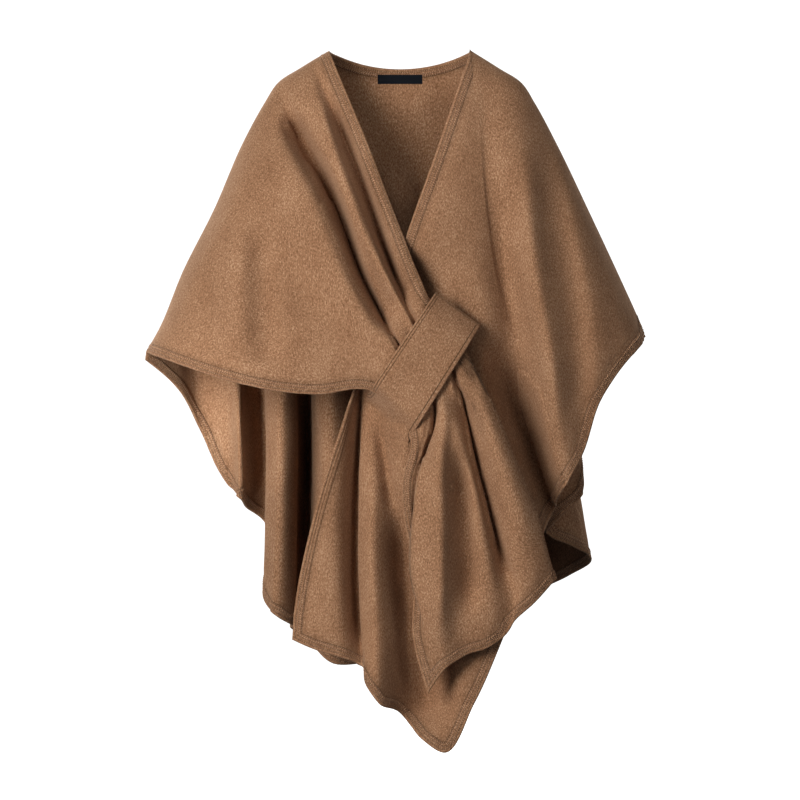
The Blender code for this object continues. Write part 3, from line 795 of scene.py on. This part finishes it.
strap = {
    "upper": ((-47, -487), (48, -343)),
    "lower": ((12, -549), (111, -389)),
    "along": 110,
    "across": 54,
    "edgeSteps": 12,
    "wall": 4.6,
    "endWall": 1.2,
    "endShare": 0.04,  # of the end's wall, where the low end feathers out
    "feathered": 0.04,  # the share of its length by which it has its whole wall
    "thinning": 0.25,
    "arch": 26.0,
    "lowRounding": 2.4,
    "highRounding": 4.0,
    "gap": 0.3,
    "proud": 1.4,
    "seats": (9, 33),  # where the cloth under it is felt for, across and along
    "runOut": 34.0,  # how far the low end feathers out on the left front
    "runOutSteps": (0, 0.15, 0.4, 0.8, 1.4, 2.2),
    "runOutAlong": 20,
    "runOutSide": 2.0,
    "runOutLoss": (0.85, 0.35),  # the share it loses towards the lower edge, and from where
    "lying": (0.06, 1.2, 0.05),  # gap at the feather's start, what it grows by, and where it has grown
    "settled": (-0.02, 0.16),  # the shares of its length between which it leaves the left front
    "groovesStart": (-0.02, 0.06),
    "edgeRound": 2.2,
    "endRound": 0.4,
    # distance, depth, width
    "grooves": {
        "upper": ((3.4, 1.0, 1.0), (7.3, 1.0, 1.1)),
        "lower": ((6.9, 1.1, 1.2),),
        "end": ((2.4, 0.9, 1.0),),
    },
    "endSeamShade": (1.6, 3.4),
    "plain": 11.0,  # in the material, the distance from an edge at which no seam is
    "stitched": (7.0, 6.6),  # the stitches' distance from the upper and the lower edge
    "stitchedFrom": 0.03,
    "stitch": (2.6, 1.9, 0.6, 0.35, 0.0),
    "flat": (0.110, 0.190),
}


def treeOf(piece):
    mesh = piece.data
    return BVHTree.FromPolygons([v.co for v in mesh.vertices], [p.vertices for p in mesh.polygons])


def depthInFront(tree, x, z, gap, flattest=0.3):
    met, normal = tree.ray_cast(Vector((x * mm, -1, z * mm)), Vector((0, 1, 0)))[:2]
    if met is None:
        return None
    return met.y / mm - gap / max(abs(normal.y), flattest)


def archOf(reach):
    reach = np.asarray(reach, float)
    rounding = np.where(reach < 0.5, strap["lowRounding"], strap["highRounding"])
    return strap["arch"] * (1 - abs(2 * reach - 1) ** rounding)


def strapWall(reach):
    return strap["endWall"] + (strap["wall"] - strap["endWall"]) * np.clip(reach / strap["thinning"], 0, 1)


def strapGrid():
    tree = treeOf(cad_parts["left_front"])
    fine = treeOf(leftPiece)
    upper, lower = np.array(strap["upper"], float), np.array(strap["lower"], float)
    edge = np.array(edgeSteps[:strap["edgeSteps"]])
    width = np.linalg.norm(lower[0] - upper[0])
    length = np.linalg.norm(upper[1] - upper[0])
    between = np.linspace(edge[-1] / width, 1 - edge[-1] / width, strap["across"])[1:-1]
    shares = np.concatenate([edge / width, between, 1 - edge[::-1] / width])
    runOut = strap["runOut"] / length
    feather = -runOut + np.array(strap["runOutSteps"]) / length
    reach = np.concatenate([feather[:-1], np.linspace(feather[-1], 0, strap["runOutAlong"])[:-1],
                            np.linspace(0, 1 - edge[-1] / length, strap["along"]), 1 - edge[-2::-1] / length])
    seats = []
    seatShares, seatReach = (np.linspace(0, 1, count) for count in strap["seats"])
    seatArch = archOf(seatReach)
    middle = len(seatReach) // 2
    for share in seatShares:
        starts, ends = ((1 - share) * upper[k] + share * lower[k] for k in (0, 1))
        places = starts + seatReach[:, None] * (ends - starts)
        room = [depthInFront(tree, x, z, strap["gap"]) + arch for (x, z), arch in zip(places, seatArch)]
        seats.append((min(room[:middle]), min(room[middle:])))
    seats = smoothCurve(seatShares, seats, shares)
    loss, lossFrom = strap["runOutLoss"]
    gap, growth, grown = strap["lying"]
    leaves, left = strap["settled"]
    grid = []
    for share, (low, high) in zip(shares, seats):
        starts, ends = ((1 - share) * upper[k] + share * lower[k] for k in (0, 1))
        fall = -np.array([strap["runOutSide"], strap["runOut"]]) * (1 - loss * easeIn(share, lossFrom, 1))
        line = []
        for r in reach:
            x, z = starts + r * (ends - starts) if r >= 0 else starts + (-r / runOut) * fall
            depth = low + max(r, 0) * (high - low) - archOf(max(r, 0)) - strapWall(r) - strap["proud"]
            if r < left:
                lying = depthInFront(fine, x, z, gap + growth * easeIn(r, -runOut, grown))
                if lying is not None:
                    depth += (lying - depth) * (1 - easeIn(r, leaves, left))
            line.append((x, depth, z))
        grid.append(line)
    return np.array(grid), shares, reach, width, length


def makeStrap():
    grid, shares, reach, width, length = strapGrid()
    normal = outwardNormals(grid, -1, np.zeros(len(grid), bool))
    fromUpper, fromLower = shares[:, None] * width, (1 - shares)[:, None] * width
    fromHigh, fromLow = ((1 - reach) * length)[None], ((reach - reach[0]) * length)[None]
    thin = strap["endShare"]
    thickness = strapWall(reach) * (thin + (1 - thin) * easeIn(reach, reach[0], strap["feathered"]))
    near = np.minimum(np.minimum(fromUpper, fromLower), fromHigh)
    edge = roundOff(near, strap["edgeRound"]) * roundOff(fromLow, strap["endRound"])
    relief = np.zeros(edge.shape)
    for side, away in (("upper", fromUpper), ("lower", fromLower), ("end", fromHigh)):
        for row, depth, wide in strap["grooves"][side]:
            relief = relief - depth * bell(away - row, wide)
    started = easeIn(reach, *strap["groovesStart"])
    relief = relief * started
    half = (thickness / 2)[None] * np.ones(edge.shape)
    middle = grid - normal * half[:, :, None]
    outer = middle + normal * ((half + relief) * edge)[:, :, None]
    inner = middle - normal * (half * edge)[:, :, None]
    uv = np.stack(np.broadcast_arrays(fromUpper, reach[None] * length), axis=-1) * mm
    # the seams' places for the material, which paints shade along the grooves there: up to the plain value
    # from the upper edge, then on to twice that
    plain = strap["plain"]
    seams = np.where(fromUpper < fromLower, np.minimum(fromUpper, plain),
                     2 * plain - np.minimum(fromLower, plain))
    # painted shade: a dark line along the seam at the strap's high end
    low, high = strap["endSeamShade"]
    seams = np.where((fromHigh > low) & (fromHigh < high), high, seams)
    seams = plain + (seams - plain) * started
    piece = closedWall("strap_cloth", outer, inner, uv, seams)
    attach(piece, "root")
    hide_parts("strap")
    return piece, outer, normal, shares * width, reach


def strapSeams(outer, normal, across, reach):
    # small stitches along the strap's two long edges
    rows = []
    kept = reach > strap["stitchedFrom"]
    fromUpper, fromLower = strap["stitched"]
    for away in (fromUpper, across[-1] - fromLower):
        k = int(abs(across - away).argmin())
        rows.append((np.concatenate([outer[k][kept], normal[k][kept]], axis=1), strap["stitch"]))
    return sewStitches("strap_stitches", rows)


strapPiece, *strapMade = makeStrap()
strapStitches = strapSeams(*strapMade)
print("strap made")

# the label: a bare woven tape inside the neck

label = {
    "width": 63.0,
    "height": 13.0,
    "drop": 32.0,
    "wall": 0.6,
    "gap": 0.3,
    "across": 60,
    "down": 16,
    "edgeSteps": (0, 0.12, 0.35, 0.8),
    "border": 1.6,
    "round": 0.35,
    "stitched": 0.9,
    "stitch": (2.2, 1.6, 0.4, 0.25, 0.0),
}


def makeLabel():
    tree = treeOf(backPiece)

    def steps(size, count):
        edge = np.array(label["edgeSteps"])
        inner = np.linspace(label["border"], size - label["border"], count)
        return np.concatenate([edge, inner, size - edge[::-1]])

    across, down = steps(label["width"], label["across"]), steps(label["height"], label["down"])
    grid = []
    for x in across - label["width"] / 2:
        heights = [-label["drop"] - z for z in down]
        grid.append([(x, depthInFront(tree, x, z, label["gap"]) - label["wall"], z) for z in heights])
    grid = np.array(grid)
    # the tape is stiff: each line bends evenly from top to foot, and lies in front of the back all along
    ends = (0, down[-1] / 2, down[-1])
    flat = np.array([smoothCurve(ends, line[[0, len(down) // 2, -1]], down) for line in grid])
    flat[:, :, 1] = np.minimum(flat[:, :, 1], grid[:, :, 1])
    normal = outwardNormals(flat, -1, np.zeros(len(grid), bool))
    fromSides, fromEnds = np.minimum(across, across[-1] - across), np.minimum(down, down[-1] - down)
    near = np.minimum(fromSides[:, None], fromEnds[None])
    bulge = roundOff(near, label["round"])[:, :, None] * label["wall"] / 2
    middle = flat - normal * label["wall"] / 2
    outer = middle + normal * bulge
    uv = np.stack(np.broadcast_arrays(across[:, None], down[None]), axis=-1) * mm
    piece = closedWall("label_tape", outer, middle - normal * bulge, uv, near)
    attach(piece, "root")
    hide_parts("label")
    rows = []
    inside = slice(len(label["edgeSteps"]) - 1, 1 - len(label["edgeSteps"]))
    for away in (label["stitched"], down[-1] - label["stitched"]):
        j = int(abs(down - away).argmin())
        rows.append((np.concatenate([outer[inside, j], normal[inside, j]], axis=1), label["stitch"]))
    stitches = sewStitches("label_stitches", rows)
    return piece, stitches


labelPiece, labelStitches = makeLabel()
print("label made")

# materials

wool = {
    "dark": (0.125, 0.062, 0.032, 1),
    "main": (0.295, 0.165, 0.094, 1),
    "light": (0.52, 0.345, 0.225, 1),
    # noise: patches to the metre each way, detail, roughness, share in the tone
    "streaks": ((560, 300), 3, 0.55, 0.45),
    "fibres": ((620, 620, 330), 3, 0.65, 0.8),
    "blotches": ((24, 24, 14), 2, 0.55, 0.22),
    "flecks": ((700, 700, 420), 1, 0.55),
    "middleTone": 0.735,
    "toneRange": (0.02, 0.30),
    "toneShare": 0.62,
    "fleckRange": (0.66, 0.78),
    "fleckShare": 0.55,
    "napRange": (0.2, 0.9),
    "roughness": (0.86, 0.98),
    "contrast": {"panels": 2.0, "strap": 1.8},
    "surface": {"Sheen Weight": 0.35, "Sheen Roughness": 0.55, "Sheen Tint": (0.85, 0.62, 0.45, 1),
                "Specular IOR Level": 0.12},
    "nap": {"Strength": 0.55, "Distance": 0.0006},
    "hemSpan": 22.0,
    # distance from the edge and tone: painted shade, darker in the grooves along the rows of stitching and at
    # the very edge
    "hemShadeTones": ((0.1, 0.8), (1.2, 1.0), (3.4, 0.95), (4.3, 0.5), (5.5, 0.5), (6.3, 0.95), (7.6, 0.95),
                 (8.3, 0.55), (9.4, 0.55), (10.2, 0.9), (12.0, 0.9), (12.8, 0.5), (14.2, 0.5), (15.2, 0.88),
                 (18.5, 0.9), (21.5, 1.0)),
    # painted shade on the strap: darker in the grooves along its seams and at its edges
    "strapShadeTones": ((0.1, 0.75), (1.2, 1.0), (2.5, 1.0), (3.0, 0.42), (3.9, 0.42), (4.5, 1.0), (6.3, 1.0),
                   (6.8, 0.5), (7.8, 0.5), (8.4, 1.0), (14.0, 1.0), (14.6, 0.42), (15.7, 0.42), (16.3, 1.0),
                   (20.6, 1.0), (21.9, 0.75)),
}
thread = {
    "surface": {"Sheen Weight": 0.2, "Roughness": 0.7},
    "patches": 260,
    "tones": ((0.35, (0.26, 0.135, 0.07, 1)), (0.65, (0.52, 0.32, 0.19, 1))),
}
tape = {
    "surface": {"Roughness": 0.75, "Specular IOR Level": 0.15},
    "ribs": (900, 1500, 1),
    "tones": ((0, (0.002, 0.003, 0.005, 1)), (1, (0.010, 0.013, 0.019, 1))),
    "relief": {"Strength": 0.5, "Distance": 0.0002},
}


def node(tree, kind, at, values=None, **settings):
    made = tree.nodes.new(kind)
    made.location = at
    for key, value in settings.items():
        setattr(made, key, value)
    for key, value in (values or {}).items():
        made.inputs[key].default_value = value
    return made


def wire(tree, *wires):
    # each wire: a node and its output, a node and its input
    for start, output, end, entry in wires:
        tree.links.new(start.outputs[output], end.inputs[entry])


def newMaterial(name, surface):
    material = bpy.data.materials.new(name)
    material.use_nodes = True
    shader = material.node_tree.nodes["Principled BSDF"]
    for key, value in surface.items():
        shader.inputs[key].default_value = value
    return material, material.node_tree, shader


def colourRamp(tree, at, stops):
    made = node(tree, "ShaderNodeValToRGB", at)
    marks = made.color_ramp.elements
    for place, colour in stops[1:-1]:
        marks.new(place).color = colour
    for mark, (place, colour) in ((marks[0], stops[0]), (marks[len(marks) - 1], stops[-1])):
        mark.position = place
        mark.color = colour
    return made


def woolGroup():
    # heathered felted knit: long soft streaks, short fibres and light flecks, in the cloth's own directions
    group = bpy.data.node_groups.new("heatheredWool", "ShaderNodeTree")
    for name, kind, value in (("Dark", "Color", wool["dark"]), ("Main", "Color", wool["main"]),
                              ("Light", "Color", wool["light"]), ("Contrast", "Float", 1.0)):
        socket = group.interface.new_socket(name, in_out="INPUT", socket_type="NodeSocket" + kind)
        socket.default_value = value
    for name, kind in (("Color", "Color"), ("Roughness", "Float"), ("Height", "Float")):
        group.interface.new_socket(name, in_out="OUTPUT", socket_type="NodeSocket" + kind)
    start = node(group, "NodeGroupInput", (-1200, 0)).outputs
    end = node(group, "NodeGroupOutput", (900, 0)).inputs
    uv = node(group, "ShaderNodeUVMap", (-1200, -300), uv_map="weave")
    spot = node(group, "ShaderNodeTexCoord", (-1200, -500))

    def patches(name, at):
        # noise stretched down the cloth, along its own map or through the space
        scale, detail, roughness = wool[name][:3]
        source = (uv, "UV") if len(scale) == 2 else (spot, "Object")
        mapping = node(group, "ShaderNodeMapping", (-1000, at), {"Scale": (*scale, 1)[:3]})
        grain = {"Scale": 1, "Detail": detail, "Roughness": roughness}
        texture = node(group, "ShaderNodeTexNoise", (-800, at), grain, noise_dimensions="%dD" % len(scale))
        wire(group, (*source, mapping, "Vector"), (mapping, "Vector", texture, "Vector"))
        return texture.outputs["Fac"]

    def fed(made, entries):
        for key, value in entries.items():
            if isinstance(value, (int, float)):
                made.inputs[key].default_value = value
            else:
                group.links.new(value, made.inputs[key])
        return made.outputs

    def ramp(value, low, high, at):
        made = node(group, "ShaderNodeMapRange", at, clamp=True, interpolation_type="SMOOTHSTEP")
        return fed(made, {"From Min": low, "From Max": high, "Value": value})["Result"]

    def combine(operation, first, second, at):
        return fed(node(group, "ShaderNodeMath", at, operation=operation), {0: first, 1: second})[0]

    def blend(share, first, second, at):
        made = node(group, "ShaderNodeMix", at, data_type="RGBA")
        return fed(made, {"Factor": share, "A": first, "B": second})["Result"]

    streaks, fibres = patches("streaks", 300), patches("fibres", 50)
    blotches, flecks = patches("blotches", -200), patches("flecks", -450)
    tone = combine("MULTIPLY", streaks, wool["streaks"][3], (-500, 300))
    tone = combine("ADD", tone, combine("MULTIPLY", fibres, wool["fibres"][3], (-500, 100)), (-300, 200))
    tone = combine("ADD", tone, combine("MULTIPLY", blotches, wool["blotches"][3], (-500, -100)), (-150, 150))
    tone = combine("SUBTRACT", tone, wool["middleTone"], (0, 150))
    tone = combine("MULTIPLY", tone, start["Contrast"], (100, 150))
    lightness = ramp(tone, *wool["toneRange"], (200, 300))
    darkness = ramp(combine("MULTIPLY", tone, -1, (150, 0)), *wool["toneRange"], (200, 50))
    lightness = combine("MULTIPLY", lightness, wool["toneShare"], (350, 400))
    darkness = combine("MULTIPLY", darkness, wool["toneShare"], (350, 0))
    sparkle = ramp(flecks, *wool["fleckRange"], (200, -200))
    sparkle = combine("MULTIPLY", sparkle, wool["fleckShare"], (400, -200))
    colour = blend(lightness, start["Main"], start["Light"], (400, 300))
    colour = blend(darkness, colour, start["Dark"], (550, 200))
    colour = blend(sparkle, colour, start["Light"], (700, 100))
    rough = node(group, "ShaderNodeMapRange", (400, -400))
    low, high = wool["roughness"]
    rough = fed(rough, {"To Min": low, "To Max": high, "Value": streaks})["Result"]
    height = ramp(fibres, *wool["napRange"], (200, -400))
    for key, value in (("Color", colour), ("Roughness", rough), ("Height", height)):
        group.links.new(value, end[key])
    return group


def woolMaterial(name, group, contrast, tones):
    material, tree, shader = newMaterial(name, wool["surface"])
    span = wool["hemSpan"]
    heather = node(tree, "ShaderNodeGroup", (-700, 200), node_tree=group)
    heather.inputs["Contrast"].default_value = contrast
    # painted shade: the hem's colour is darkened in the grooves along its rows of stitching and at its very
    # edge, less so where it rolls
    edge = node(tree, "ShaderNodeAttribute", (-1100, -200), attribute_name="hem")
    scale = node(tree, "ShaderNodeMapRange", (-900, -200), {"From Max": span}, clamp=True)
    paintedShade = colourRamp(tree, (-700, -200), [(away / span, (tone, tone, tone, 1)) for away, tone in tones])
    shade = node(tree, "ShaderNodeMix", (-300, 200), {"Factor": 1.0}, data_type="RGBA", blend_type="MULTIPLY")
    bump = node(tree, "ShaderNodeBump", (-300, -200), wool["nap"])
    wire(tree, (edge, "Fac", scale, "Value"), (scale, "Result", paintedShade, "Fac"), (heather, "Color", shade, "A"),
         (paintedShade, "Color", shade, "B"), (shade, "Result", shader, "Base Color"),
         (heather, "Roughness", shader, "Roughness"), (heather, "Height", bump, "Height"),
         (bump, "Normal", shader, "Normal"))
    return material


def threadMaterial():
    material, tree, shader = newMaterial("thread", thread["surface"])
    spot = node(tree, "ShaderNodeTexCoord", (-900, 0))
    texture = node(tree, "ShaderNodeTexNoise", (-700, 0), {"Scale": thread["patches"]})
    ramp = colourRamp(tree, (-500, 0), thread["tones"])
    wire(tree, (spot, "Object", texture, "Vector"), (texture, "Fac", ramp, "Fac"),
         (ramp, "Color", shader, "Base Color"))
    return material


def tapeMaterial():
    # satin tape: fine ribs across a near-black ground
    material, tree, shader = newMaterial("tape", tape["surface"])
    uv = node(tree, "ShaderNodeUVMap", (-1100, 0), uv_map="weave")
    mapping = node(tree, "ShaderNodeMapping", (-900, 0), {"Scale": tape["ribs"]})
    texture = node(tree, "ShaderNodeTexNoise", (-700, 0), {"Scale": 1}, noise_dimensions="2D")
    ramp = colourRamp(tree, (-500, 0), tape["tones"])
    bump = node(tree, "ShaderNodeBump", (-300, -200), tape["relief"])
    wire(tree, (uv, "UV", mapping, "Vector"), (mapping, "Vector", texture, "Vector"),
         (texture, "Fac", ramp, "Fac"), (ramp, "Color", shader, "Base Color"),
         (texture, "Fac", bump, "Height"), (bump, "Normal", shader, "Normal"))
    return material


heathered = woolGroup()
dressed = (
    (woolMaterial("panelWool", heathered, wool["contrast"]["panels"], wool["hemShadeTones"]),
     (rightPiece, leftPiece, backPiece)),
    (woolMaterial("strapWool", heathered, wool["contrast"]["strap"], wool["strapShadeTones"]), (strapPiece,)),
    (threadMaterial(), (rightStitches, leftStitches, backStitches, strapStitches)),
    (tapeMaterial(), (labelPiece, labelStitches)),
)
for material, pieces in dressed:
    for piece in pieces:
        piece.data.materials.append(material)
print("materials made")

# floor, light and camera

studio = {
    "floorHeight": -1.06,
    "floorTone": 0.5,
    "page": 0.98,
    "ambient": 0.06,
    "aim": (0.0, -0.05, -0.45),
    # name, place, size, power, colour
    "lights": [
        ("key", (-1.4, -2.25, 0.1), 1.3, 56, (1.0, 0.97, 0.94)),
        ("low", (-1.5, -1.5, -0.8), 0.6, 8, (1.0, 0.98, 0.96)),
        ("fill", (1.7, -2.8, 0.3), 1.6, 17, (1.0, 0.98, 0.96)),
        ("rearLeft", (-1.6, 2.6, 1.2), 2.6, 78, (1.0, 0.98, 0.95)),
        ("rearRight", (1.9, 2.4, 0.9), 2.6, 46, (1.0, 0.98, 0.95)),
    ],
    # narrow lamps, into the neck and onto the back's wing: name, place, aim, spread in degrees, power
    "spots": [
        ("neckLamp", (0.15, -2.2, 1.9), (0.0, 0.08, -0.19), 5.4, 160),
        ("wingLamp", (-1.0, -1.9, -0.95), (-0.285, 0.03, -0.53), 6.5, 200),
    ],
    "spotSize": 0.12,
    "cameraDistance": 12.0,
    "filmWidth": 36,
    "planeDepth": -0.06,
    "pictureWidth": 1.12,
    "centre": (0.0, -0.4914),
}


def setFloor():
    tone = studio["floorTone"]
    bpy.ops.mesh.primitive_plane_add(size=60, location=(0, 0, studio["floorHeight"]))
    floor = bpy.context.object
    floor.name = "floor"
    floor.data.materials.append(newMaterial("floor", {
        "Base Color": (tone, tone, tone, 1), "Roughness": 1.0, "Specular IOR Level": 0.0,
        "Emission Color": (1, 1, 1, 1), "Emission Strength": studio["page"] - tone * studio["ambient"]})[0])
    floor.visible_diffuse = False


def setWorld():
    world = bpy.data.worlds.new("studio")
    bpy.context.scene.world = world
    world.use_nodes = True
    tree = world.node_tree
    sky = tree.nodes["Background"]
    sky.inputs["Color"].default_value = (1, 1, 1, 1)
    seen = node(tree, "ShaderNodeLightPath", (-600, 0))
    levels = {"To Min": studio["ambient"], "To Max": studio["page"]}
    strength = node(tree, "ShaderNodeMapRange", (-300, 0), levels)
    wire(tree, (seen, "Is Camera Ray", strength, "Value"), (strength, "Result", sky, "Strength"))


def addLamp(name, kind, place, aim, power, **settings):
    lamp = bpy.data.lights.new(name, kind)
    lamp.energy = power
    for key, value in settings.items():
        setattr(lamp, key, value)
    holder = bpy.data.objects.new(name, lamp)
    holder.location = place
    holder.rotation_euler = (Vector(aim) - Vector(place)).to_track_quat("-Z", "Y").to_euler()
    bpy.context.scene.collection.objects.link(holder)


def setCamera():
    lens = bpy.data.cameras.new("camera")
    lens.sensor_width = studio["filmWidth"]
    lens.lens = studio["filmWidth"] * studio["cameraDistance"] / studio["pictureWidth"]
    lens.clip_start, lens.clip_end = 0.5, 80
    camera = bpy.data.objects.new("camera", lens)
    x, z = studio["centre"]
    camera.location = (x, studio["planeDepth"] - studio["cameraDistance"], z)
    camera.rotation_euler = (math.pi / 2, 0, 0)
    bpy.context.scene.collection.objects.link(camera)
    bpy.context.scene.camera = camera
    bpy.context.scene.view_settings.view_transform = "Standard"
    bpy.context.scene.view_settings.look = "Medium High Contrast"


setFloor()
setWorld()
for name, place, size, power, colour in studio["lights"]:
    addLamp(name, "AREA", place, studio["aim"], power, shape="DISK", size=size, color=colour)
for name, place, aim, spread, power in studio["spots"]:
    addLamp(name, "SPOT", place, aim, power, spot_size=math.radians(spread), spot_blend=1.0,
            shadow_soft_size=studio["spotSize"])
setCamera()
print("stage and camera set")
